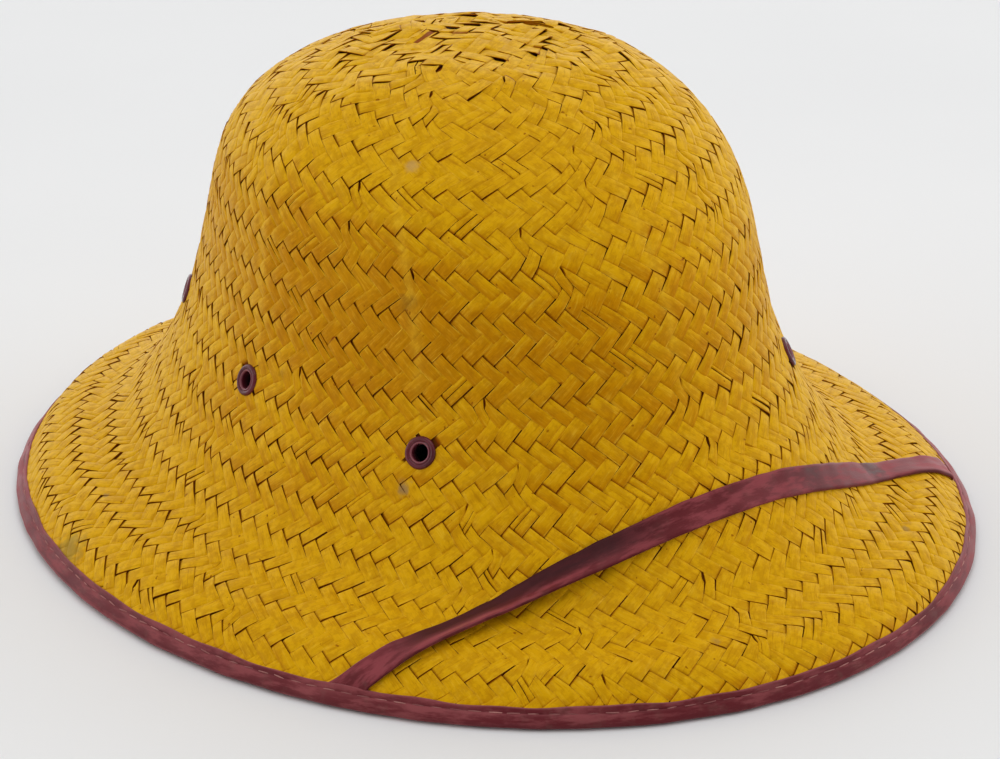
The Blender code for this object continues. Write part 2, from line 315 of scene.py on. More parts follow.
# Smudges on the paint and on the strap: place on the hat, radius, how strong, and which tone
SMUDGE_TONES = {
    "grey": (0.27, 0.17, 0.09),
    "brown": (0.25, 0.11, 0.012),
    "green": (0.22, 0.17, 0.04),
    "pale": (0.52, 0.34, 0.17),
    "soot": (0.060, 0.055, 0.052),
}
SMUDGES = {
    "by the front eyelet": ((-70.8, -64.4, 44.4), 2.9, 0.70, "grey"),
    "between the eyelets": ((-77.5, -12.1, 62.6), 2.2, 0.35, "brown"),
    "on the ridge": ((-47.9, -39.6, 127.5), 2.8, 0.45, "pale"),
    "low on the crown": ((-60.8, -54.2, 94.0), 4.2, 0.45, "brown"),
    "spot on the brim": ((-111.4, 35.4, 17.1), 1.6, 0.80, "grey"),
    "at the binding": ((-129.0, 28.0, 6.5), 9.0, 0.55, "green"),
    "under the strap": ((-30.0, -126.0, 31.0), 5.0, 0.40, "green"),
    "on the front brim": ((-23.7, -145.9, 15.9), 2.0, 0.65, "grey"),
    "on the left brim": ((61.9, -123.9, 16.8), 2.0, 0.65, "grey"),
}
STRAP_SMUDGES = {
    "dust on the left slope": ((71.8, -95.9, 23.4), 7.5, 0.65, "soot"),
    "dust at the front": ((38.2, -110.6, 37.0), 4.5, 0.35, "soot"),
}

# Light: strengths of the sky, the lamp's watts, and its place and size in metres
SKY_HORIZON = 1.75
SKY_ZENITH = 0.62
SKY_BEHIND_CAMERA = 0.22
LAMP_POWER = 4.6
LAMP_PLACE = (0.05, -0.25, 1.5)
LAMP_SIZE = 1.2
FLOOR_HALF_SIDE = 3.0

# Camera: degrees and millimetres
CAMERA_AZIMUTH = -33.94
CAMERA_HEIGHT = 23.16
CAMERA_ROLL = -1.56
CAMERA_DISTANCE = 1100.02
CAMERA_TARGET = (-9.95, -24.12, 47.54)
CAMERA_LENS = 134.55


# The hat's surface


def natural_spline(table, at):
    """Natural cubic spline through the rows of a table, read at the row numbers `at`."""
    rows = np.asarray(list(table.values()), float)
    count = len(rows)
    system = np.eye(count)
    right_side = np.zeros_like(rows)
    for row in range(1, count - 1):
        system[row, row - 1:row + 2] = (1.0, 4.0, 1.0)
        right_side[row] = 6.0 * (rows[row + 1] - 2.0 * rows[row] + rows[row - 1])
    bend = np.linalg.solve(system, right_side)
    at = np.asarray(at, float)
    lower = np.clip(np.floor(at).astype(int), 0, count - 2)
    up = (at - lower)[..., None]
    down = 1.0 - up
    straight = down * rows[lower] + up * rows[lower + 1]
    curved = (down ** 3 - down) * bend[lower] + (up ** 3 - up) * bend[lower + 1]
    return straight + curved / 6.0


def unit(vectors):
    return vectors / np.maximum(np.linalg.norm(vectors, axis=-1, keepdims=True), 1e-12)


def smooth_step(low, high, value):
    share = np.clip((value - low) / (high - low), 0.0, 1.0)
    return share * share * (3.0 - 2.0 * share)


def run_lengths(points, axis=0):
    """Length walked along one axis of a grid of points, from 0 at its start."""
    steps = np.linalg.norm(np.diff(points, axis=axis), axis=-1)
    start = np.zeros_like(steps.take([0], axis=axis))
    return np.concatenate([start, steps.cumsum(axis=axis)], axis=axis)


def to_half_turn(angle):
    """The same angle between minus and plus half a turn."""
    return (angle + np.pi) % FULL_TURN - np.pi


def panel_relief(level, angle):
    """Parabola between each two ridges, zero on the ridges, faded out towards brim and top."""
    ridges = np.radians(RIDGE_ANGLES)
    angle = to_half_turn(angle)
    panel = np.clip(np.searchsorted(ridges, angle, side="right") - 1, 0, len(ridges) - 2)
    share = (angle - ridges[panel]) / (ridges[panel + 1] - ridges[panel])
    hollow = 4.0 * share * (1.0 - share)
    return PANEL_DEPTH * hollow * np.interp(level, RIDGE_FADE_LEVELS, RIDGE_FADE)


def ridge_crease(level, angle):
    """1 along a crimped line just beside each ridge of the crown, 0 a little away from it."""
    lines = np.radians(RIDGE_ANGLES) - np.radians(CREASE_OFFSET)
    away = np.abs(to_half_turn(angle)[..., None] - lines).min(axis=-1)
    near = 1.0 - smooth_step(0.0, np.radians(CREASE_HALF_WIDTH), away)
    return near * np.interp(level, RIDGE_FADE_LEVELS, RIDGE_FADE)


def hat_point(level, angle):
    """Half ellipses round the hat: x = w sin, y = -l cos, and height swings with cos squared.

    Past the top level the ring shrinks to the apex.
    """
    level, angle = np.broadcast_arrays(np.asarray(level, float), np.asarray(angle, float))
    shrink = 1.0 - np.clip(level - TOP_LEVEL, 0.0, 1.0)
    row = natural_spline(SECTIONS, np.minimum(level, TOP_LEVEL))
    width, front, back, side_height, end_height = np.moveaxis(row, -1, 0)
    sine = np.sin(angle)
    cosine = np.cos(angle)
    length = np.where(cosine > 0.0, front, back)
    relief = panel_relief(level, angle)
    height = side_height + (end_height - side_height) * cosine ** 2
    return np.stack([
        (width - relief) * sine * shrink,
        -(length - relief) * cosine * shrink,
        height + 0.1 * (1.0 - shrink),
    ], axis=-1)


def hat_normal(level, angle):
    """Outward normal of hat_point, from central differences along and around."""
    step = 0.01
    level = np.clip(level, step, TOP_LEVEL - step)
    upward = hat_point(level + step, angle) - hat_point(level - step, angle)
    around = hat_point(level, angle + step) - hat_point(level, angle - step)
    return unit(np.cross(around, upward))


def make_chart(rows=460, columns=721):
    """Level and angle on a grid of share of the way up each meridian by share of the way round."""
    levels = np.linspace(0.0, TOP_LEVEL + 1.0, 1801)
    angles = np.linspace(-np.pi, np.pi, 361)
    runs = run_lengths(hat_point(levels[:, None], angles[None, :]))
    shares = np.linspace(0.0, 1.0, rows)
    level_at = np.stack([np.interp(shares * run[-1], run, levels) for run in runs.T], axis=-1)
    turns = run_lengths(hat_point(level_at, angles[None, :]), axis=1)
    turns[-1] = np.linspace(0.0, 1.0, len(angles))
    turns = turns / turns[:, -1:]
    rounds = np.linspace(0.0, 1.0, columns)
    angle_at = np.stack([np.interp(rounds, turn, angles) for turn in turns])
    level_even = np.stack([
        np.interp(angle_at[row], angles, level_at[row]) for row in range(rows)
    ])
    return level_even, angle_at, float(runs[-1].mean())


CHART_LEVEL, CHART_ANGLE, MERIDIAN = make_chart()


def read_grid(grid, row, column):
    """Bilinear reading of a grid at fractional rows and columns."""
    row = np.clip(row, 0.0, grid.shape[0] - 1.001)
    column = np.clip(column, 0.0, grid.shape[1] - 1.001)
    row_floor = row.astype(int)
    column_floor = column.astype(int)
    down = row - row_floor
    right = column - column_floor
    top = grid[row_floor, column_floor] * (1 - right) + grid[row_floor, column_floor + 1] * right
    below = row_floor + 1
    base = grid[below, column_floor] * (1 - right) + grid[below, column_floor + 1] * right
    return top * (1 - down) + base * down


def on_hat(down_share, round_share):
    """Level and angle at a share of the way down from the top and a share of the way round."""
    row = (1.0 - down_share) * (CHART_LEVEL.shape[0] - 1)
    column = (round_share % 1.0) * (CHART_LEVEL.shape[1] - 1)
    return read_grid(CHART_LEVEL, row, column), read_grid(CHART_ANGLE, row, column)


# Meshes


def place(name, vertices, faces, material, sharp=38.0):
    """A smooth shaded mesh of quads from points in millimetres, riding on the hat."""
    sides = faces.shape[1]
    mesh = bpy.data.meshes.new(name)
    mesh.vertices.add(len(vertices))
    mesh.vertices.foreach_set("co", (vertices * MM).ravel())
    mesh.loops.add(faces.size)
    mesh.loops.foreach_set("vertex_index", faces.ravel())
    mesh.polygons.add(len(faces))
    mesh.polygons.foreach_set("loop_start", np.arange(len(faces)) * sides)
    mesh.update(calc_edges=True)
    mesh.validate()
    mesh.materials.append(material)
    mesh.shade_smooth()
    mesh.set_sharp_from_angle(angle=np.radians(sharp))
    item = bpy.data.objects.new(name, mesh)
    bpy.context.scene.collection.objects.link(item)
    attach(item, "root")
    return item


def paint_points(item, shape, **values):
    """Store one number for each vertex under each name, spread over the grid of points."""
    for name, numbers in values.items():
        spread_out = np.ascontiguousarray(np.broadcast_to(numbers, shape), dtype=np.float32)
        layer = item.data.attributes.new(name, "FLOAT", "POINT")
        layer.data.foreach_set("value", spread_out.ravel())


def lay_uv(item, name, shape, along, across):
    """A UV map in centimetres that gives each vertex the same place in all its faces."""
    pair = [np.broadcast_to(values, shape) for values in (along, across)]
    coordinates = np.stack(pair, axis=-1).reshape(-1, 2) * 0.1
    layer = item.data.uv_layers.new(name=name)
    corners = np.empty(len(item.data.loops), dtype=np.int32)
    item.data.loops.foreach_get("vertex_index", corners)
    layer.data.foreach_set("uv", coordinates[corners].astype(np.float32).ravel())


def tube_faces(stations, sides, closed):
    """Quads of a tube of rings, closed on itself or open for caps."""
    station = np.arange(stations if closed else stations - 1)[:, None]
    side = np.arange(sides)[None, :]
    after = (station + 1) % stations
    beside = (side + 1) % sides
    quads = np.stack([
        station * sides + side,
        station * sides + beside,
        after * sides + beside,
        after * sides + side,
    ], axis=-1)
    return quads.reshape(-1, 4)


def capped_tubes(count, stations, sides, flip):
    """Quads of many tubes, one after another, both ends closed by a ladder of quads."""
    step = np.arange(sides // 2 - 1)
    ladder = np.stack([step, step + 1, sides - 2 - step, sides - 1 - step], axis=-1)
    one = np.concatenate([
        tube_faces(stations, sides, closed=False),
        ladder[:, ::-1],
        ladder + (stations - 1) * sides,
    ])
    if flip:
        one = one[:, ::-1]
    starts = np.arange(count)[:, None, None] * stations * sides
    return (one[None] + starts).reshape(-1, 4)


# Weave: the lattice


def band_share(band):
    """Share of the way down from the top at a fractional band number."""
    start = (START_BANDS - ZIGZAG) * START_HEIGHT
    rest = (MERIDIAN - start) / (BAND_COUNT - START_BANDS)
    inner = (np.minimum(band, START_BANDS) - ZIGZAG) * START_HEIGHT
    return (inner + np.maximum(band - START_BANDS, 0.0) * rest) / MERIDIAN


def spread(shares, first):
    """Round shares at every half column from those at every whole one, starting at `first`."""
    ahead = np.append(shares[1:], shares[0] + 1.0)
    between = 0.5 * (shares + ahead)
    full = np.empty(2 * len(shares))
    full[first::2] = shares
    full[1 - first::2] = between if first == 0 else np.append(between[-1] - 1.0, between[:-1])
    return full


def start_tips():
    """Round shares of the tips that the square start leaves, even along each of its sides."""
    cells = START_CELLS + 1
    corners = np.arange(4 * cells) + 0.5 - 2 * cells
    quarter = np.round(corners / cells)
    return (quarter + (corners - quarter * cells) / START_CELLS) / 4.0 + 0.5


def column_tables(rng):
    """Round shares of the lattice at every half column and every half band, group by group.

    The first row of a table is the upper tips of the group's floats, a quarter band above its
    first band, and its second row is the notches between them. Tips lie at half columns and
    notches at whole ones. Where a group has more columns than the one above it, some notches of
    that group take two tips instead of one, so no gap opens; the columns then spread out evenly.
    """
    starts = list(FLOAT_COUNTS) + [BAND_COUNT]
    tips = start_tips()
    tables = {}
    for index, start in enumerate(starts[:-1]):
        count = FLOAT_COUNTS[start]
        if index:
            above = tables[starts[index - 1]]
            row = 2 * (start - starts[index - 1])
            extra = count - (above.shape[1] - 1) // 2
            slots = (np.arange(extra) + rng.uniform(0.15, 0.85, extra)) * (count - extra) / extra
            source = np.sort(np.concatenate([np.arange(count - extra), slots.astype(int)]))
            tips = above[row, 1::2][source]
            notches = above[row + 1, 0::2][:-1][source]
            middles = above[row + 1, 1::2][source]
            first = np.concatenate([[True], np.diff(source) > 0])
            notches = np.where(first, notches, middles)
        else:
            notches = np.arange(count) / count
        even = np.arange(2 * count) * 0.5 / count
        rows = np.arange(2 * (starts[index + 1] - start) + 3)[:, None]
        ease = smooth_step(1.0, 6.0, rows)
        table = spread(notches, 0) * (1.0 - ease) + even * ease
        table[0] = spread(tips, 1)
        tables[start] = np.concatenate([table, table[:, :1] + 1.0], axis=1)
    return tables


def shift_start(down, turn):
    """Move the weave's start off the hat's axis, less and less with distance from it."""
    radius = down * MERIDIAN
    angle = (turn - 0.5) * FULL_TURN
    share = 1.0 - smooth_step(0.0, START_FADE, radius)
    across = radius * np.sin(angle) + START_PLACE[0] * share
    ahead = radius * np.cos(angle) - START_PLACE[1] * share
    moved = np.hypot(across, ahead) / MERIDIAN
    return np.clip(moved, 0.0, 1.0), np.arctan2(across, ahead) / FULL_TURN + 0.5


def square_start(quarter, column, band):
    """Shares down and round for the start, a flat square weave of four quarters.

    Its square rings turn into round ones as they grow: angle and radius ease from those of the
    flat square to those of a ring.
    """
    quarter = quarter[:, None, None] * 0.5 * np.pi
    ahead = band - ZIGZAG
    across = column * np.cos(quarter) + ahead * np.sin(quarter)
    out = -column * np.sin(quarter) + ahead * np.cos(quarter)
    square = np.maximum(np.abs(across), np.abs(out))
    facing = np.round(np.arctan2(across, out) / (0.5 * np.pi)) * 0.5 * np.pi
    sideways = across * np.cos(facing) - out * np.sin(facing)
    flat_angle = np.arctan2(sideways, np.maximum(square, 1e-6))
    ring_angle = 0.25 * np.pi * sideways / np.maximum(square, 1e-6)
    ease = smooth_step(0.5, START_BANDS - 2.0 * ZIGZAG, square)
    radius = np.hypot(square, sideways) * (1.0 - ease) + square * ease
    angle = facing + flat_angle * (1.0 - ease) + ring_angle * ease
    return band_share(radius + ZIGZAG), angle / FULL_TURN + 0.5


def lattice_to_hat(floats, column, band, tables):
    """Level and angle of lattice points that belong to floats (first axis of the arrays).

    Floats below the start read their column lines from the tables of their group.
    """
    down = np.zeros_like(column)
    turn = np.zeros_like(column)
    for start, table in tables.items():
        own = floats["group"] == start
        if own.any():
            count = (table.shape[1] - 1) // 2
            row = 2.0 * (band[own] - start + ZIGZAG)
            turns = np.floor(column[own] / count)
            turn[own] = read_grid(table, row, 2.0 * (column[own] % count)) + turns
            down[own] = band_share(band[own])
    own = floats["group"] < 0
    if own.any():
        down[own], turn[own] = square_start(floats["quarter"][own], column[own], band[own])
    return on_hat(*shift_start(np.clip(down, 0.0, 1.0), turn + START_TURN / 360.0))


# Weave: the floats, a table of arrays with one row for each float


def pick(floats, rows):
    return {name: value[rows].copy() for name, value in floats.items()}


def join(*parts):
    return {name: np.concatenate([part[name] for part in parts]) for name in parts[0]}


def over_plates(floats):
    """The values of the floats, ready to be spread over stations and section."""
    return {name: value[:, None, None] for name, value in floats.items()}


def lay_floats(rng):
    """Centres, directions, strip numbers and jitter of all floats.

    Floats of even and odd bands lie a quarter column to either side of the lattice lines, which
    makes a two over two under twill. The last float along each side of the start is short.
    """
    parts = []
    for band in range(BAND_COUNT):
        rises = band % 2
        offset = 0.25 if rises else -0.25
        if band < START_BANDS:
            columns = np.tile(np.arange(-band, band + 1), 4)
            quarter = np.repeat(np.arange(4), 2 * band + 1)
            group = np.full(len(columns), -1)
            short = columns == (band if rises else -band)
        else:
            start = max(key for key in FLOAT_COUNTS if key <= band)
            columns = np.arange(FLOAT_COUNTS[start])
            quarter = np.zeros(len(columns), int)
            group = np.full(len(columns), start)
            short = np.zeros(len(columns), bool)
        parts.append({
            "column": columns + offset - np.where(short, offset, 0.0),
            "band": band + 0.5 + np.where(short, 0.25, 0.0),
            "rises": np.full(len(columns), rises),
            "quarter": quarter,
            "group": group,
            "strip": columns + band if rises else columns - band,
            "length": np.where(short, 0.5, 1.0),
        })
    floats = join(*parts)
    count = len(floats["band"])
    floats["tint"] = rng.uniform(0.0, 1.0, count)
    for name in ("lift", "roll", "pitch", "curl", "skew"):
        floats[name] = rng.normal(0.0, 1.0, count)
    floats["sink"] = rng.uniform(0.45, 1.0, count)
    floats["start"] = np.full(count, -PLATE_REACH)
    floats["end"] = np.full(count, PLATE_REACH)
    return floats


def split_floats(floats, rng):
    """Some strips are two narrow ones side by side: each such float becomes two."""
    key = (floats["strip"] * 131 + floats["rises"] * 17 + floats["group"] * 7) % 997
    chosen = rng.uniform(0.0, 1.0, 997)[key] < SPLIT_STRIPS
    chosen |= rng.uniform(0.0, 1.0, len(key)) < SPLIT_FLOATS
    floats["fill"] = np.ones(len(key))
    floats["shift"] = np.zeros(len(key))
    cut = rng.uniform(*SPLIT_RANGE, len(key))[chosen]
    wide = pick(floats, chosen)
    thin = pick(floats, chosen)
    wide["fill"] = 0.5 * (1.0 + cut) * SPLIT_FILLS[0]
    wide["shift"] = 0.5 * (cut - 1.0)
    thin["fill"] = 0.5 * (1.0 - cut) * SPLIT_FILLS[1]
    thin["shift"] = 0.5 * (1.0 + cut)
    thin["lift"] -= 1.0
    thin["tint"] = (thin["tint"] + 0.37) % 1.0
    return join(pick(floats, ~chosen), wide, thin)


def plate_place(own, a, b):
    """Column and band at a half runs along a float and b half widths across it."""
    run = np.where(own["rises"], 0.5, -0.5) * own["length"]
    width = np.where(own["rises"], -0.25, 0.25)
    column = own["column"] + a * run + b * width
    return column, own["band"] - 0.5 * a * own["length"] - 0.25 * b


def distance_to_eyelets(points):
    """Distance of points to the axis of the nearest vent hole, far where none is near."""
    nearest = np.full(points.shape[:-1], 1e9)
    for angle, level in EYELETS.values():
        centre = hat_point(level, np.radians(angle))
        axis = hat_normal(level, np.radians(angle))
        offset = points - centre
        along = offset @ axis
        radial = np.linalg.norm(offset - along[..., None] * axis, axis=-1)
        near = np.abs(along) < EYELET_DEPTH
        nearest = np.where(near, np.minimum(nearest, radial), nearest)
    return nearest


def cut_at_eyelets(floats, tables):
    """Shorten or drop floats that would cross a vent hole, keeping what lies on both sides."""
    samples = np.linspace(-1.2, 1.2, 49)
    column, band = plate_place(
        over_plates(floats), samples[None, :, None], np.array([-0.9, 0.0, 0.9])[None, None, :]
    )
    points = hat_point(*lattice_to_hat(floats, column, band, tables))
    blocked = distance_to_eyelets(points).min(axis=2) < EYELET_ROOM
    crossed = blocked.any(axis=1)
    first = samples[np.argmax(blocked, axis=1)]
    last = samples[::-1][np.argmax(blocked[:, ::-1], axis=1)]
    before = pick(floats, crossed & (first > -0.8))
    before["end"] = first[crossed & (first > -0.8)]
    after = pick(floats, crossed & (last < 0.8))
    after["start"] = last[crossed & (last < 0.8)]
    return join(pick(floats, ~crossed), before, after)


# Weave: the plates


def strip_borders(own):
    """How far each side of a float is moved, the same for strips that share the border."""
    key = own["strip"] * 2 + own["rises"] + own["group"] * 977 + own["quarter"] * 61
    table = np.random.default_rng(BORDER_SEED).uniform(-BORDER_WANDER, BORDER_WANDER, 4096)
    return table[(key - 2) % 4096], table[key % 4096]


def seam_leans(angle):
    """How far the seams open over the falling and over the rising floats at an angle, 0 to 1."""
    turned = np.sin(angle - np.radians(LEAN_ANGLE))
    falling = 1.0 - smooth_step(*FALLING_FADE, turned)
    return falling, RISING_STRENGTH * smooth_step(*RISING_FADE, turned)


def top_dents(point, level):
    """Gentle waves in the top of the crown: crossed sines of x and y, never below the surface."""
    waves = sum(
        np.sin(
            WAVE * (point[..., 0] * np.cos(turn) + point[..., 1] * np.sin(turn)) / length + turn
        )
        for length, turn in TOP_WAVES
    )
    return TOP_DENT * np.maximum(waves + 1.0, 0.0) * smooth_step(*TOP_DENT_LEVELS, level)


def end_dips(a, upper, lower):
    """How far a plate has dived at a, and how much of that it does early, at an open seam.

    It is a smooth step towards each end, a blend of an early one and a late one.
    """
    upper_share = UPPER_CLOSED + (1.0 - UPPER_CLOSED) * upper
    open_share = np.where(a > 0.0, upper_share, LOWER_OPEN * lower)
    early = smooth_step(*EARLY_DIP, np.abs(a))
    late = smooth_step(*LATE_DIP, np.abs(a))
    return early * open_share + late * (1.0 - open_share), open_share


def plate_height(own, plate, a, b, rise, dip, open_share, upper, lower):
    """Height of a plate's points over the wall.

    It is the section's height on a level that falls from the middle to the sunk ends with the
    dip, plus a bow (a squared), raised corners at the open seams, and the float's own lift,
    roll (with b), pitch (with a) and curl (with b squared), which are larger at the top.
    """
    near_top = 1.0 - smooth_step(*UNEVEN_TOP_BANDS, own["band"])
    uneven = UNEVEN + UNEVEN_TOP * near_top
    sink = 1.0 + (own["sink"] - 1.0) * open_share
    height = plate["high"] - (plate["high"] - plate["low"]) * dip * sink - BOW * a ** 2
    corner = np.clip(b, 0.0, 1.0) * smooth_step(-1.0, 0.6, a) * upper
    corner = corner + np.clip(-b, 0.0, 1.0) * smooth_step(-0.6, 0.8, -a) * lower
    height = height + rise + CORNER_LIFT * corner
    jitter = np.clip(own["lift"], -0.7, 2.5) * LIFT + own["roll"] * b * ROLL
    jitter = jitter + own["pitch"] * a * PITCH
    jitter = jitter + (own["curl"] + 1.2 * near_top) * (b ** 2 - 0.4) * CURL
    height = height + jitter * uneven
    return np.where(rise > UNDERSIDE, np.maximum(height, 0.22 - 0.6 * dip), height)


def weave_plates(name, floats, tables, material, plate):
    """One closed curved plate for each float, on the outer or the inner face of the wall.

    A point of a plate is the float's centre plus a times half its run plus b times half its
    width on the lattice, carried to the hat's surface and out along its normal by its height.
    Where a seam is open, the float's upper side is drawn in and its upper end stands over the
    neighbour that dives under it, and the upper side gets a stroke of painted shade, so a dark
    zigzag with tapered strokes shows.
    """
    own = over_plates(floats)
    a = np.asarray(plate["stations"])[None, :, None]
    a = own["start"] + (a + 1.0) * 0.5 * (own["end"] - own["start"])
    b, rise = (np.asarray(values)[None, None, :] for values in zip(*plate["section"]))
    centre_angle = lattice_to_hat(floats, own["column"], own["band"], tables)[1]
    falling, rising = seam_leans(centre_angle)
    upper = np.where(own["rises"], rising, falling)
    lower = np.where(own["rises"], falling, rising)
    left, right = strip_borders(own)
    slit = SLIT * upper * (b > 0.9) * smooth_step(-0.9, 0.5, a)
    half = (1.0 + 0.5 * (right - left)) * own["fill"]
    width = 0.5 * (right + left) + (b - slit) * half + own["shift"] + own["skew"] * a * SKEW
    level, angle = lattice_to_hat(floats, *plate_place(own, a, width), tables)
    base = hat_point(level, angle)
    dip, open_share = end_dips(a, upper, lower)
    height = plate_height(own, plate, a, b, rise, dip, open_share, upper, lower)
    height = height + top_dents(base, level)
    offset = height if plate["side"] > 0 else -STRAW_WALL - height
    points = base + hat_normal(level, angle) * offset[..., None]
    shape = points.shape[:3]
    faces = capped_tubes(*shape, flip=plate["side"] < 0)
    item = place(name, points.reshape(-1, 3), faces, material)
    # Painted shade: a dark stroke along a float's upper side where its seam is open. Low is also 1
    # on the unpainted parts under the neighbours, and dip darkens the diving ends with painted
    # shade
    shade_stroke = SEAM_SHADE_STROKE * (b > 0.99) * smooth_step(-1.0, 0.1, a) * upper
    paint_points(
        item, shape, tint=own["tint"], low=np.where(rise < UNDERSIDE, 1.0, shade_stroke), across=b,
        dip=dip, crease=ridge_crease(level, angle),
    )
    lay_uv(item, "strip", shape, a * FLOAT_SIZE[0] + own["tint"] * 731.0,
           width * FLOAT_SIZE[1] + own["strip"] * 7.3)


def make_weave(materials):
    """Painted plates over the whole outer face, in three pieces, and bare ones inside."""
    rng = np.random.default_rng(WEAVE_SEED)
    tables = column_tables(rng)
    floats = cut_at_eyelets(split_floats(lay_floats(rng), rng), tables)
    for name, (first, end) in PAINTED_PIECES.items():
        own = pick(floats, (floats["band"] > first) & (floats["band"] < end))
        weave_plates(name, own, tables, materials["paint"], OUTER_PLATE)
    weave_plates("inner_weave", floats, tables, materials["straw"], INNER_PLATE)


# Binding, strap, eyelets


def rim_level(distance, angle):
    """Level that lies a distance up the straw from the rim, at each angle."""
    levels = np.linspace(0.0, 1.6, 161)
    runs = run_lengths(hat_point(levels[:, None], angle[None, :]))
    return np.array([np.interp(distance, run, levels) for run in runs.T])


def slow_waves(rng, turn, counts):
    """Uneven ripple round the rim: sines of several counts, each of its own size and phase."""
    return sum(
        np.sin(turn * count + rng.uniform(0, WAVE)) * rng.normal(0, 1.0) for count in counts
    ) / 3.6


def make_binding(materials):
    """The tape's section carried round the rim: up the straw, out from it and along its face.

    The outer face follows the straw at its heights and the fold is an ellipse round the rim,
    both a little puffed by ripples. Heights near the floor are pressed up by a soft maximum.
    """
    angle = np.linspace(-np.pi, np.pi, TAPE_RINGS, endpoint=False)
    rng = np.random.default_rng(TAPE_SEED)
    ripple = slow_waves(rng, angle + np.pi, range(9, 60, 4))
    puff = slow_waves(rng, angle + np.pi, range(13, 90, 6))
    rim = hat_point(0.0, angle)
    reach = rim_level(TAPE_REACH, angle)
    outward = unit(rim - hat_point(reach, angle))
    normal = hat_normal(0.5 * reach, angle)
    normal = unit(normal - outward * np.sum(normal * outward, axis=-1, keepdims=True))
    rings = []
    for up, height in TAPE_OUTER:
        edge = smooth_step(*TAPE_EDGE, up)
        surface = hat_point(rim_level(up, angle), angle)
        puffed = TAPE_FACE_PUFF * puff * (1.0 - edge) * (height > 1.0)
        lift = height + puffed + TAPE_EDGE_LIFT * ripple * edge
        wave = TAPE_EDGE_WAVE * ripple * edge
        rings.append(surface + normal * lift[:, None] - outward * wave[:, None])
    centre = rim - normal * (0.5 * STRAW_WALL)
    folds = np.radians(TAPE_FOLD)
    for direction in folds:
        tall, wide = (size + TAPE_FOLD_PUFF * puff for size in TAPE_FOLD_SIZE)
        up_fold = normal * (tall * np.sin(direction))[:, None]
        rings.append(centre + up_fold + outward * (wide * np.cos(direction))[:, None])
    for up, height in TAPE_UNDER:
        under = hat_point(rim_level(up, angle), angle) if up > 0.0 else rim - outward * up
        rings.append(under + normal * height)
    rings = np.array(rings).transpose(1, 0, 2)
    over_floor = (rings[..., 2] - FLOOR_GAP) / FLOOR_SOFTNESS
    rings[..., 2] = FLOOR_GAP + FLOOR_SOFTNESS * np.logaddexp(0.0, over_floor)
    shape = rings.shape[:2]
    faces = tube_faces(*shape, closed=True)[:, ::-1]
    item = place("rim_binding", rings.reshape(-1, 3), faces, materials["tape"], 50.0)
    across = np.concatenate([
        [up for up, _ in TAPE_OUTER], folds - 2.0, [up - 10.0 for up, _ in TAPE_UNDER],
    ])
    lay_uv(item, "tape", shape, run_lengths(rim)[:, None], across)
    # The binding has no painted shade: its hollow mask is 0
    paint_points(item, shape, edge=smooth_step(4.0, 4.6, across), hollow=0.0)
    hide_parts("edge_binding")


def make_stitches(materials):
    """Short round stitches in the tape's groove, half sunk, each a bead of six sides."""
    fine = np.linspace(-np.pi, np.pi, 4001)
    level = rim_level(STITCH_LINE, fine)
    run = run_lengths(hat_point(level, fine) + hat_normal(level, fine) * 1.0)
    rng = np.random.default_rng(STITCH_SEED)
    count = int(run[-1] / STITCH_SPACING)
    stray = rng.uniform(-STITCH_STRAY, STITCH_STRAY, count)
    centre = (np.arange(count) + stray) * run[-1] / count
    half = rng.uniform(*STITCH_HALF_LENGTHS, count)
    steps, thick, sink = np.array(STITCH_STEPS).T
    along = (centre[:, None] + half[:, None] * steps) % run[-1]
    at_angle = np.interp(along, run, fine)
    at_level = np.interp(at_angle, fine, level)
    up = hat_normal(at_level, at_angle)
    ahead = unit(hat_point(at_level, at_angle + 0.002) - hat_point(at_level, at_angle - 0.002))
    side = np.cross(up, ahead)
    depth = rng.uniform(*STITCH_SINKS, count)[:, None, None]
    base = hat_point(at_level, at_angle) + up * (STITCH_HEIGHT + depth + sink[:, None])
    base = base + side * (rng.normal(0.0, STITCH_TURN, (count, 1, 1)) * steps[:, None])
    turns = np.linspace(0.0, FULL_TURN, STITCH_SIDES, endpoint=False)[:, None]
    ring = side[:, :, None, :] * np.cos(turns) + up[:, :, None, :] * np.sin(turns)
    points = base[:, :, None, :] + ring * thick[:, None, None]
    shape = points.shape[:3]
    item = place("rim_stitches", points.reshape(-1, 3), capped_tubes(*shape, flip=True),
                 materials["thread"], 80.0)
    paint_points(item, shape, tint=rng.uniform(0, 1, count)[:, None, None])


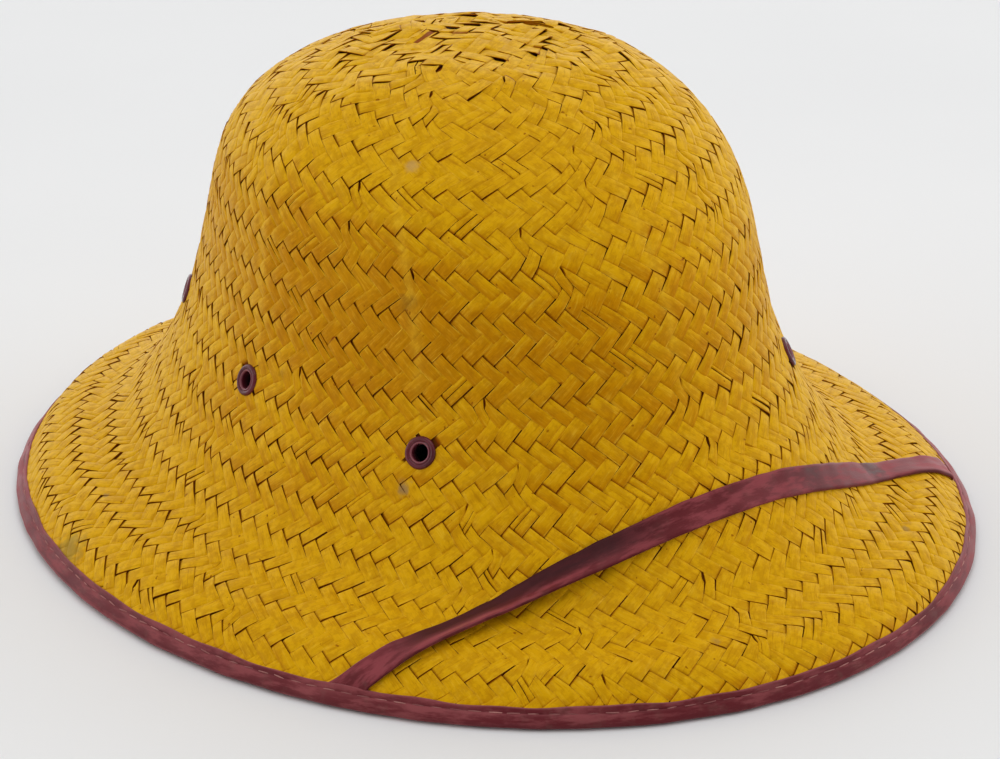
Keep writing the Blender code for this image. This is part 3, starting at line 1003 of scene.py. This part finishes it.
def make_strap(materials):
    """Flat folded band along its route: a rounded section, dished and leaning back in places.

    Both ends thin out, drop to the straw and are cut along the rim, under the binding.
    """
    rows = np.linspace(0.0, len(STRAP_ROUTE) - 1, STRAP_STATIONS)
    angle, level, lean = natural_spline(STRAP_ROUTE, rows).T
    angle = np.radians(angle)
    lean = np.radians(np.maximum(lean, 0.0))
    on_straw = hat_point(level, angle)
    normal = hat_normal(level, angle)
    forward = unit(np.gradient(on_straw, axis=0))
    up_brim = unit(np.cross(normal, forward))
    run = run_lengths(on_straw)
    near_right = 1.0 - smooth_step(0.3 * STRAP_TUCK, STRAP_TUCK, run)
    near_left = 1.0 - smooth_step(0.3 * STRAP_TUCK, STRAP_TUCK, run[-1] - run)
    tucked = near_right + near_left
    slant = near_right * STRAP_SLANTS[0] + near_left * STRAP_SLANTS[1]
    thickness = STRAP_THICKNESS * (1.0 - 0.5 * tucked)
    lift = STRAP_CLEARANCE * (1.0 - 0.8 * tucked) + 0.5 * thickness
    lift = lift + 0.5 * STRAP_WIDTH * np.sin(lean)
    centre = on_straw + normal * lift[:, None]
    across = up_brim * np.cos(lean)[:, None] - normal * np.sin(lean)[:, None]
    face = unit(np.cross(forward, across))
    dish = STRAP_DISH * np.sin(lean) / np.sin(np.radians(STRAP_LEAN))
    shares, heights = np.array(STRAP_SECTION).T
    rng = np.random.default_rng(STRAP_SEED)
    ripple = sum(
        np.sin(run * WAVE / length + rng.uniform(0.0, WAVE)) for length in STRAP_RIPPLES
    )[:, None]
    width = shares * (STRAP_WIDTH + STRAP_RIPPLE_WIDTH * ripple)
    sag = dish[:, None] * (4.0 * shares ** 2 - 1.0) * 0.5
    height = heights * thickness[:, None] + sag + STRAP_RIPPLE_HEIGHT * ripple
    shift = slant[:, None] * width
    points = (
        centre[:, None, :]
        + across[:, None, :] * width[..., None]
        + face[:, None, :] * height[..., None]
        + forward[:, None, :] * shift[..., None]
    )
    shape = points.shape[:2]
    item = place("front_strap", points.reshape(-1, 3), capped_tubes(1, *shape, flip=True),
                 materials["strap"], 50.0)
    lay_uv(item, "tape", shape, run[:, None] + shift, width)
    # Painted shade on the upper half of the strap where it leans back in its curl
    hollow = smooth_step(3.0, 14.0, np.degrees(lean))[:, None] * smooth_step(-0.25, 0.0, shares)
    # Dark lines along both edges of the strap, partly painted shadow
    paint_points(item, shape, edge=(np.abs(shares) * 2.0) ** 12, hollow=0.85 * hollow)
    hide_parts("brim_strap")


def make_eyelets(materials):
    """Each eyelet is its section turned about its axis, slightly uneven in the rolled lip."""
    turns = np.linspace(0.0, FULL_TURN, EYELET_SIDES, endpoint=False)
    radii, heights = (values[:, None] for values in np.array(EYELET_SECTION).T)
    shape = (len(radii), EYELET_SIDES)
    # The rolled lip: worn pink paint, also a painted highlight
    lip = (1.0 - smooth_step(2.9, 3.2, radii)) * (heights > 1.1)
    # Down the hole and inside the hat: near-black painted shade
    inside = 1.0 - smooth_step(-1.5, 0.9, heights)
    for index, (name, (angle, level)) in enumerate(EYELETS.items()):
        axis = hat_normal(level, np.radians(angle))
        first = unit(np.cross(axis, np.array([0.0, 0.0, 1.0])))
        second = np.cross(axis, first)
        wobble = 1.0 + 0.012 * np.sin(2.0 * turns + index) + 0.006 * np.sin(5.0 * turns + index)
        spokes = first * np.cos(turns)[:, None] + second * np.sin(turns)[:, None]
        points = (
            hat_point(level, np.radians(angle))
            + (radii * wobble)[..., None] * spokes
            + axis * heights[..., None]
        )
        item = place(name.replace("eyelet", "vent"), points.reshape(-1, 3),
                     tube_faces(*shape, closed=True), materials["eyelet"], 50.0)
        paint_points(item, shape, lip=lip, inside=inside)
        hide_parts(name)


# Shader nodes


def feed(tree, socket, value):
    """Link a socket to another node's output, or set it to a constant."""
    if isinstance(value, bpy.types.NodeSocket):
        tree.links.new(value, socket)
    else:
        socket.default_value = value


def new_group(name, inputs, outputs):
    """An empty node group with its sockets named, and the nodes that hold them inside."""
    tree = bpy.data.node_groups.new(name, "ShaderNodeTree")
    for socket, kind, value in inputs:
        item = tree.interface.new_socket(socket, in_out="INPUT", socket_type="NodeSocket" + kind)
        item.default_value = value
    for socket in outputs:
        tree.interface.new_socket(socket, in_out="OUTPUT", socket_type="NodeSocketFloat")
    return tree, tree.nodes.new("NodeGroupInput"), tree.nodes.new("NodeGroupOutput")


def use_group(tree, group, **values):
    """The outputs of a node group placed in a material or another group, fed by name."""
    node = tree.nodes.new("ShaderNodeGroup")
    node.node_tree = group
    for name, value in values.items():
        feed(tree, node.inputs[name], value)
    return node.outputs


def calculate(tree, operation, first, second=0.0):
    node = tree.nodes.new("ShaderNodeMath")
    node.operation = operation
    feed(tree, node.inputs[0], first)
    feed(tree, node.inputs[1], second)
    return node.outputs[0]


def plus(tree, first, second):
    return calculate(tree, "ADD", first, second)


def times(tree, first, second):
    return calculate(tree, "MULTIPLY", first, second)


def remap(tree, value, low, high, low_to=0.0, high_to=1.0):
    node = tree.nodes.new("ShaderNodeMapRange")
    node.interpolation_type = "SMOOTHSTEP"
    names = ("Value", "From Min", "From Max", "To Min", "To Max")
    for name, number in zip(names, (value, low, high, low_to, high_to)):
        feed(tree, node.inputs[name], number)
    return node.outputs["Result"]


def blend(tree, share, first, second):
    """A colour between two others: first at share 0, second at share 1."""
    node = tree.nodes.new("ShaderNodeMix")
    node.data_type = "RGBA"
    feed(tree, node.inputs[0], share)
    for socket, colour in ((node.inputs[6], first), (node.inputs[7], second)):
        feed(tree, socket, colour if isinstance(colour, bpy.types.NodeSocket) else (*colour, 1.0))
    return node.outputs[2]


def noise(tree, vector, scale, detail=2.0, roughness=0.5):
    node = tree.nodes.new("ShaderNodeTexNoise")
    feed(tree, node.inputs["Vector"], vector)
    feed(tree, node.inputs["Scale"], scale)
    node.inputs["Detail"].default_value = detail
    node.inputs["Roughness"].default_value = roughness
    return node.outputs["Fac"]


def vector_math(tree, operation, first, second, output):
    node = tree.nodes.new("ShaderNodeVectorMath")
    node.operation = operation
    feed(tree, node.inputs[0], first)
    feed(tree, node.inputs[1], second)
    return node.outputs[output]


def drawn_noise(tree, vector, along, across, detail, roughness=0.5):
    """Noise with its own number of spots to the centimetre along and across a strip."""
    scaled = vector_math(tree, "MULTIPLY", vector, (along, across, 1.0), "Vector")
    return noise(tree, scaled, 1.0, detail, roughness)


def read_value(tree, name):
    node = tree.nodes.new("ShaderNodeAttribute")
    node.attribute_name = name
    return node.outputs["Fac"]


def read_uv(tree, name):
    node = tree.nodes.new("ShaderNodeUVMap")
    node.uv_map = name
    return node.outputs["UV"]


def object_position(tree):
    return tree.nodes.new("ShaderNodeTexCoord").outputs["Object"]


def read_z(tree, vector):
    split = tree.nodes.new("ShaderNodeSeparateXYZ")
    feed(tree, split.inputs[0], vector)
    return split.outputs["Z"]


def facing_up(tree):
    """How far the surface faces up: the z of its normal."""
    return read_z(tree, tree.nodes.new("ShaderNodeNewGeometry").outputs["Normal"])


def facing_away(tree, low, high, high_to=1.0):
    """0 where the surface faces the eye, rising towards its outline."""
    node = tree.nodes.new("ShaderNodeLayerWeight")
    node.inputs["Blend"].default_value = 0.5
    return remap(tree, node.outputs["Facing"], low, high, 0.0, high_to)


def lay_over(tree, colour, layers):
    """The colour with others laid over it in turn, each by its share."""
    for share, tone in layers:
        colour = blend(tree, share, colour, tone)
    return colour


def start_material(name, groups, weather_size):
    """A new material, its node tree, and the weathering at a size of its own."""
    material = bpy.data.materials.new(name)
    material.use_nodes = True
    tree = material.node_tree
    weather = use_group(tree, groups["weather"], Position=object_position(tree),
                        Size=weather_size)
    return material, tree, weather


def finish_material(material, colour, roughness, specular, bump_height=None, bump=(0.0, 0.0)):
    """Feed the shader; a bump has a strength and a depth in millimetres."""
    tree = material.node_tree
    shader = tree.nodes["Principled BSDF"]
    feed(tree, shader.inputs["Base Color"], colour)
    feed(tree, shader.inputs["Roughness"], roughness)
    shader.inputs["Specular IOR Level"].default_value = specular
    if bump_height:
        node = tree.nodes.new("ShaderNodeBump")
        node.inputs["Strength"].default_value = bump[0]
        node.inputs["Distance"].default_value = bump[1] * MM
        feed(tree, node.inputs["Height"], bump_height)
        feed(tree, shader.inputs["Normal"], node.outputs["Normal"])
    return material


# Effects that several materials share


def make_grain_group():
    """Fibres along a strip: noise drawn out along the first UV axis (centimetres)."""
    tree, ins, outs = new_group(
        "strip_grain", [("Strip", "Vector", (0.0, 0.0, 0.0))], ["Streak", "Height"]
    )
    strip = ins.outputs["Strip"]
    broad = drawn_noise(tree, strip, 1.1, 9.0, 3.0, 0.6)
    thin = drawn_noise(tree, strip, 3.0, 34.0, 2.0, 0.6)
    cross = drawn_noise(tree, strip, 7.0, 2.0, 2.0)
    both = plus(tree, times(tree, broad, 0.6), times(tree, thin, 0.4))
    feed(tree, outs.inputs["Streak"], both)
    feed(tree, outs.inputs["Height"], plus(tree, both, times(tree, cross, 0.45)))
    return tree


def make_weather_group():
    """Broad clouds, patches a few millimetres wide and small specks, from noise in space."""
    tree, ins, outs = new_group(
        "weathering",
        [("Position", "Vector", (0.0, 0.0, 0.0)), ("Size", "Float", 1.0)],
        ["Cloud", "Patch", "Speck"],
    )
    for name, scale, detail, roughness, low, high in (
        ("Cloud", 22.0, 3.0, 0.55, 0.36, 0.64),
        ("Patch", 160.0, 3.0, 0.6, 0.50, 0.72),
        ("Speck", 520.0, 1.0, 0.5, 0.735, 0.80),
    ):
        scaled = times(tree, ins.outputs["Size"], scale)
        spots = noise(tree, ins.outputs["Position"], scaled, detail, roughness)
        feed(tree, outs.inputs[name], remap(tree, spots, low, high))
    return tree


def make_smudge_group():
    """A soft spot round a place on the hat, its edge broken up by noise."""
    tree, ins, outs = new_group(
        "smudge",
        [("Position", "Vector", (0.0, 0.0, 0.0)), ("Place", "Vector", (0.0, 0.0, 0.0)),
         ("Radius", "Float", 0.01)],
        ["Mask"],
    )
    near = ins.outputs["Position"]
    gap = vector_math(tree, "DISTANCE", near, ins.outputs["Place"], "Value")
    share = calculate(tree, "DIVIDE", gap, ins.outputs["Radius"])
    far = plus(tree, share, times(tree, noise(tree, near, 420.0, 3.0), 1.5))
    feed(tree, outs.inputs["Mask"], remap(tree, far, 1.0, 1.75, 1.0, 0.0))
    return tree


def make_cloth_group():
    """Coated cloth tape: crossing threads under the coat, with longer wrinkles."""
    tree, ins, outs = new_group(
        "coated_cloth", [("Tape", "Vector", (0.0, 0.0, 0.0))], ["Height", "Worn"]
    )
    tape = ins.outputs["Tape"]
    threads = drawn_noise(tree, tape, 26.0, 40.0, 1.0)
    wrinkle = drawn_noise(tree, tape, 2.2, 5.0, 3.0, 0.6)
    feed(tree, outs.inputs["Height"], plus(tree, times(tree, threads, 0.35), wrinkle))
    worn = drawn_noise(tree, tape, 0.9, 3.5, 4.0, 0.65)
    feed(tree, outs.inputs["Worn"], remap(tree, worn, 0.42, 0.62))
    return tree


def smudge_layers(tree, groups, smudges):
    """Share and tone of each smudge of a table, to be laid over a colour."""
    layers = []
    for spot, radius, strength, tone in smudges.values():
        smudge = use_group(tree, groups["smudge"], Position=object_position(tree),
                           Place=tuple(value * MM for value in spot), Radius=radius * MM)
        layers.append((times(tree, smudge["Mask"], strength), SMUDGE_TONES[tone]))
    return layers


# Materials


def fade_and_light_share(tree, weather, sheen):
    """How pale the paint is: paler where it faces up and at the outline, which is painted light
    and painted sheen, and by clouds and by strip, its own uneven tone.
    """
    faded = remap(tree, facing_up(tree), 0.05, 0.75)
    drift = calculate(tree, "SUBTRACT", weather["Cloud"], 0.5)
    faded = plus(tree, faded, times(tree, drift, 0.30))
    own = calculate(tree, "SUBTRACT", read_value(tree, "tint"), 0.5)
    faded = plus(tree, faded, times(tree, own, 0.30))
    return remap(tree, plus(tree, faded, times(tree, sheen, 0.45)), 0.0, 1.0)


def make_paint(groups):
    """Amber paint on the straw, deep on the walls of the crown and paler where it faces up, which
    is painted light.

    Over that lie a painted sheen towards the outline, pale and dark streaks along the fibres, worn
    strip edges that also stand for a painted highlight, worn creases, a thin film of dirt,
    mottling, smudges and specks, and the brown of the seams with painted shade on the diving ends
    and along the open seams.
    """
    material, tree, weather = start_material("mustard_paint", groups, 1.0)
    grain = use_group(tree, groups["grain"], Strip=read_uv(tree, "strip"))
    streak = grain["Streak"]
    # Painted sheen: paler and yellower where the surface turns away from the eye
    sheen = facing_away(tree, 0.35, 0.85)
    # Pale strip edges: worn paint, and also a painted highlight where the edges catch the light;
    # the creases are worn paint
    rim = remap(tree, calculate(tree, "ABSOLUTE", read_value(tree, "across")), 0.84, 0.96)
    worn = times(tree, rim, remap(tree, weather["Patch"], 0.0, 1.0, 0.3, 1.3))
    worn = plus(tree, worn, times(tree, read_value(tree, "crease"), 0.6))
    mottle = noise(tree, object_position(tree), 330.0, 4.0, 0.65)
    # Brown seams: the unpainted parts under the neighbours, and painted shade on the diving ends
    # and along the open seams
    seam = plus(tree, times(tree, read_value(tree, "low"), 0.85),
                times(tree, read_value(tree, "dip"), 0.95))
    # Painted light: deep amber on the walls, paler amber where the paint faces up
    colour = blend(tree, fade_and_light_share(tree, weather, sheen), DEEP_AMBER, FADED_AND_LIT_AMBER)
    colour = lay_over(tree, colour, [
        (times(tree, sheen, 0.30), SHEEN_YELLOW),
        (times(tree, remap(tree, streak, 0.50, 0.66), 0.42), PALE_STREAK),
        (times(tree, remap(tree, streak, 0.48, 0.34), 0.42), DARK_STREAK),
        (times(tree, worn, 0.7), PALE_STREAK),
        (times(tree, weather["Patch"], 0.03), SMUDGE_TONES["grey"]),
        (remap(tree, mottle, 0.42, 0.60, 0.0, 0.30), DARK_STREAK),
        *smudge_layers(tree, groups, SMUDGES),
        (times(tree, weather["Speck"], 0.7), SEAM_BROWN),
        (remap(tree, seam, 0.0, 1.0), SEAM_BROWN),
    ])
    roughness = remap(tree, streak, 0.3, 0.7, 0.50, 0.38)
    return finish_material(material, colour, roughness, 0.03, grain["Height"], (0.55, 0.22))


def make_raw_straw(groups):
    """Bare straw inside the hat, browner where the strips dip."""
    material, tree, weather = start_material("raw_straw", groups, 0.8)
    grain = use_group(tree, groups["grain"], Strip=read_uv(tree, "strip"))
    colour = blend(tree, read_value(tree, "tint"), BROWN_STRAW, PALE_STRAW)
    colour = lay_over(tree, colour, [
        (remap(tree, grain["Streak"], 0.35, 0.65, 0.5, 0.0), STRAW_FIBRE),
        (times(tree, weather["Cloud"], 0.35), STRAW_STAIN),
        (times(tree, read_value(tree, "low"), 0.7), STRAW_SEAM),
    ])
    return finish_material(material, colour, 0.62, 0.25, grain["Height"], (0.5, 0.22))


def make_core(groups):
    """What shows deep in the seams: strips soaked with paint, turning to a near-black painted
    shade towards the top, in the slots there.
    """
    material, tree, weather = start_material("straw_core", groups, 2.0)
    colour = blend(tree, weather["Cloud"], CORE_BROWN, CORE_SHADE)
    # Painted shade: near black towards the top of the crown
    high = remap(tree, read_z(tree, object_position(tree)), 0.126, 0.138)
    return finish_material(material, blend(tree, high, colour, CORE_SLOT_SHADE), 0.8, 0.1)


def make_tape(groups, name, tones, smudges):
    """Coated maroon cloth: faded in patches and paler where it faces up, which is painted light;
    faded along the binding's edge and dark along the strap's edges, partly painted shadow; dusty;
    with a painted sheen towards the outline and painted shade where the strap curls.
    """
    main, faded, edge, dust = tones
    material, tree, weather = start_material(name, groups, 1.3)
    cloth = use_group(tree, groups["cloth"], Tape=read_uv(tree, "tape"))
    tone = plus(tree, times(tree, weather["Cloud"], 0.35), times(tree, cloth["Worn"], 0.50))
    # Painted light: paler where the tape faces up
    tone = plus(tree, tone, remap(tree, facing_up(tree), 0.35, 0.95, 0.0, 0.30))
    colour = blend(tree, remap(tree, tone, 0.1, 1.0), main, faded)
    colour = lay_over(tree, colour, [
        (remap(tree, read_value(tree, "edge"), 0.3, 1.0, 0.0, 0.55), edge),
        (times(tree, weather["Patch"], dust), TAPE_DUST),
        # Painted sheen towards the outline
        (facing_away(tree, 0.45, 0.95, 0.50), TAPE_SHEEN),
        *smudge_layers(tree, groups, smudges),
        # Painted shade where the strap curls
        (read_value(tree, "hollow"), TAPE_PAINTED_SHADE),
    ])
    roughness = remap(tree, cloth["Worn"], 0.0, 1.0, 0.40, 0.60)
    return finish_material(material, colour, roughness, 0.12, cloth["Height"], (0.5, 0.20))


def make_thread(groups):
    """Sewing thread, once maroon, faded to pink on top."""
    material, tree, weather = start_material("faded_thread", groups, 2.0)
    share = plus(tree, times(tree, read_value(tree, "tint"), 0.6),
                 times(tree, weather["Cloud"], 0.4))
    return finish_material(material, blend(tree, share, THREAD_DARK, THREAD_FADED), 0.7, 0.2)


def make_eyelet_paint(groups):
    """Glossy maroon paint on metal, dusty in its hollows, worn pink on the lip, which is also a
    painted highlight, and a near-black painted shade down the hole and inside the hat.
    """
    material, tree, weather = start_material("eyelet_enamel", groups, 3.0)
    colour = blend(tree, weather["Cloud"], EYELET_DARK, EYELET_MAROON)
    colour = lay_over(tree, colour, [
        # Worn pink lip, also a painted highlight
        (times(tree, read_value(tree, "lip"), 0.6), EYELET_LIP_WEAR_AND_HIGHLIGHT),
        (times(tree, weather["Patch"], 0.08), EYELET_DUST),
        # Painted shade down the hole
        (read_value(tree, "inside"), EYELET_INSIDE_SHADE),
    ])
    roughness = remap(tree, weather["Patch"], 0.0, 1.0, 0.15, 0.3)
    return finish_material(material, colour, roughness, 0.3)


def make_floor_paint(groups):
    """Pale painted table with the faintest mottling."""
    material, tree, weather = start_material("pale_floor", groups, 0.15)
    colour = blend(tree, weather["Cloud"], FLOOR_LIGHT, FLOOR_SHADE)
    return finish_material(material, colour, 0.6, 0.3)


def make_materials():
    groups = {
        "grain": make_grain_group(),
        "weather": make_weather_group(),
        "smudge": make_smudge_group(),
        "cloth": make_cloth_group(),
    }
    return {
        "paint": make_paint(groups),
        "straw": make_raw_straw(groups),
        "core": make_core(groups),
        "tape": make_tape(groups, "maroon_tape", TAPE_TONES, {}),
        "strap": make_tape(groups, "maroon_strap", STRAP_TONES, STRAP_SMUDGES),
        "thread": make_thread(groups),
        "eyelet": make_eyelet_paint(groups),
        "floor": make_floor_paint(groups),
    }


# Stage, light and camera


def make_stage(materials):
    """A plain square floor at height 0."""
    size = FLOOR_HALF_SIDE
    corners = [(-size, -size, 0), (size, -size, 0), (size, size, 0), (-size, size, 0)]
    mesh = bpy.data.meshes.new("floor")
    mesh.from_pydata(corners, [], [(0, 1, 2, 3)])
    mesh.materials.append(materials["floor"])
    floor = bpy.data.objects.new("floor", mesh)
    bpy.context.scene.collection.objects.link(floor)


def make_sky():
    """A white tent: bright at the horizon, dimmer overhead and behind the camera."""
    world = bpy.data.worlds.new("studio")
    bpy.context.scene.world = world
    world.use_nodes = True
    tree = world.node_tree
    ahead = tree.nodes.new("ShaderNodeTexCoord").outputs["Generated"]
    azimuth = np.radians(CAMERA_AZIMUTH)
    camera_side = (np.sin(azimuth), -np.cos(azimuth), 0.0)
    towards = vector_math(tree, "DOT_PRODUCT", ahead, camera_side, "Value")
    height = remap(tree, read_z(tree, ahead), 0.0, 1.0, SKY_HORIZON, SKY_ZENITH)
    dim = remap(tree, towards, 0.1, 1.0, 1.0, SKY_BEHIND_CAMERA)
    background = tree.nodes["Background"]
    background.inputs["Color"].default_value = (1.0, 1.0, 1.0, 1.0)
    feed(tree, background.inputs["Strength"], times(tree, height, dim))


def make_lamp():
    """One wide soft lamp overhead, a little in front of the hat and aimed at it."""
    lamp = bpy.data.lights.new("overhead", "AREA")
    lamp.energy = LAMP_POWER
    lamp.shape = "RECTANGLE"
    lamp.size = LAMP_SIZE
    lamp.size_y = LAMP_SIZE
    item = bpy.data.objects.new("overhead", lamp)
    bpy.context.scene.collection.objects.link(item)
    item.location = LAMP_PLACE
    item.rotation_euler = Vector(LAMP_PLACE).to_track_quat("Z", "Y").to_euler()


def make_camera():
    """The camera looks at a point low in the hat from its front right, a little above."""
    azimuth, height, roll = np.radians([CAMERA_AZIMUTH, CAMERA_HEIGHT, CAMERA_ROLL])
    back = np.array([
        np.sin(azimuth) * np.cos(height), -np.cos(azimuth) * np.cos(height), np.sin(height)
    ])
    right = unit(np.cross(-back, np.array([0.0, 0.0, 1.0])))
    up = np.cross(right, -back)
    turned = right * np.cos(roll) + up * np.sin(roll)
    upright = -right * np.sin(roll) + up * np.cos(roll)
    lens = bpy.data.cameras.new("camera")
    lens.lens = CAMERA_LENS
    lens.sensor_width = 36.0
    lens.sensor_fit = "HORIZONTAL"
    lens.clip_end = 20.0
    item = bpy.data.objects.new("camera", lens)
    bpy.context.scene.collection.objects.link(item)
    pose = Matrix((turned, upright, back)).transposed().to_4x4()
    pose.translation = Vector((np.array(CAMERA_TARGET) + back * CAMERA_DISTANCE) * MM)
    item.matrix_world = pose
    bpy.context.scene.camera = item


def main():
    materials = make_materials()
    make_weave(materials)
    make_binding(materials)
    make_stitches(materials)
    make_strap(materials)
    make_eyelets(materials)
    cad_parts["straw_shell"].material_slots[0].material = materials["core"]
    make_stage(materials)
    make_sky()
    make_lamp()
    make_camera()
    bpy.context.scene.view_settings.view_transform = "Standard"
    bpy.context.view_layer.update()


main()
